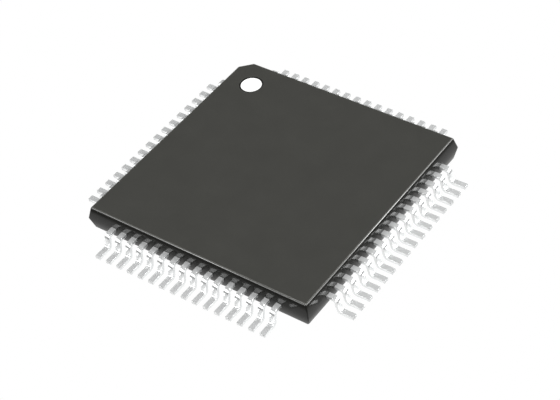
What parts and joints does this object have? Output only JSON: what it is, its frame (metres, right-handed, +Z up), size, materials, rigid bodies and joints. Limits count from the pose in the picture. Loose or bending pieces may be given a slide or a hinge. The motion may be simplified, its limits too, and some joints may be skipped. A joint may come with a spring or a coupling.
{
  "type": "quad flat package integrated circuit",
  "caption": "Thin square surface-mount chip package with gull-wing leads on all four sides, a bevelled corner and a round pin-one mark.",
  "frame": {"origin": "on the seating plane of the lead feet, under the middle of the body", "axes": "+Z up through the top face; lead 1 is at the +Y end of the -X side and the leads count anticlockwise from there, seen from above"},
  "size_m": [0.0122, 0.0122, 0.0011],
  "materials": {
    "mould_compound": "fine-grained satin",
    "white_paint": "matt print ink",
    "tin_plate": "matt electroplated tin",
    "copper_alloy": "bare rolled strip",
    "die_adhesive": "silver-filled epoxy",
    "silicon": "polished",
    "gold_wire": "drawn wire"
  },
  "bodies": {
    "root": {"package_body": "mould_compound", "pin_1_mark": "white_paint", "die_pad": "copper_alloy", "die_attach": "die_adhesive", "silicon_die": "silicon", "leads_01_02": "tin_plate", "leads_03_04": "tin_plate", "leads_05_06": "tin_plate", "leads_07_08": "tin_plate", "leads_09_10": "tin_plate", "leads_11_12": "tin_plate", "leads_13_14": "tin_plate", "leads_15_16": "tin_plate", "leads_17_18": "tin_plate", "leads_19_20": "tin_plate", "leads_21_22": "tin_plate", "leads_23_24": "tin_plate", "leads_25_26": "tin_plate", "leads_27_28": "tin_plate", "leads_29_30": "tin_plate", "leads_31_32": "tin_plate", "leads_33_34": "tin_plate", "leads_35_36": "tin_plate", "leads_37_38": "tin_plate", "leads_39_40": "tin_plate", "leads_41_42": "tin_plate", "leads_43_44": "tin_plate", "leads_45_46": "tin_plate", "leads_47_48": "tin_plate", "leads_49_50": "tin_plate", "leads_51_52": "tin_plate", "leads_53_54": "tin_plate", "leads_55_56": "tin_plate", "leads_57_58": "tin_plate", "leads_59_60": "tin_plate", "leads_61_62": "tin_plate", "leads_63_64": "tin_plate", "bond_wires_01_04": "gold_wire", "bond_wires_05_08": "gold_wire", "bond_wires_09_12": "gold_wire", "bond_wires_13_16": "gold_wire", "bond_wires_17_20": "gold_wire", "bond_wires_21_24": "gold_wire", "bond_wires_25_28": "gold_wire", "bond_wires_29_32": "gold_wire", "bond_wires_33_36": "gold_wire", "bond_wires_37_40": "gold_wire", "bond_wires_41_44": "gold_wire", "bond_wires_45_48": "gold_wire", "bond_wires_49_52": "gold_wire", "bond_wires_53_56": "gold_wire", "bond_wires_57_60": "gold_wire", "bond_wires_61_64": "gold_wire"}
  },
  "joints": []
}
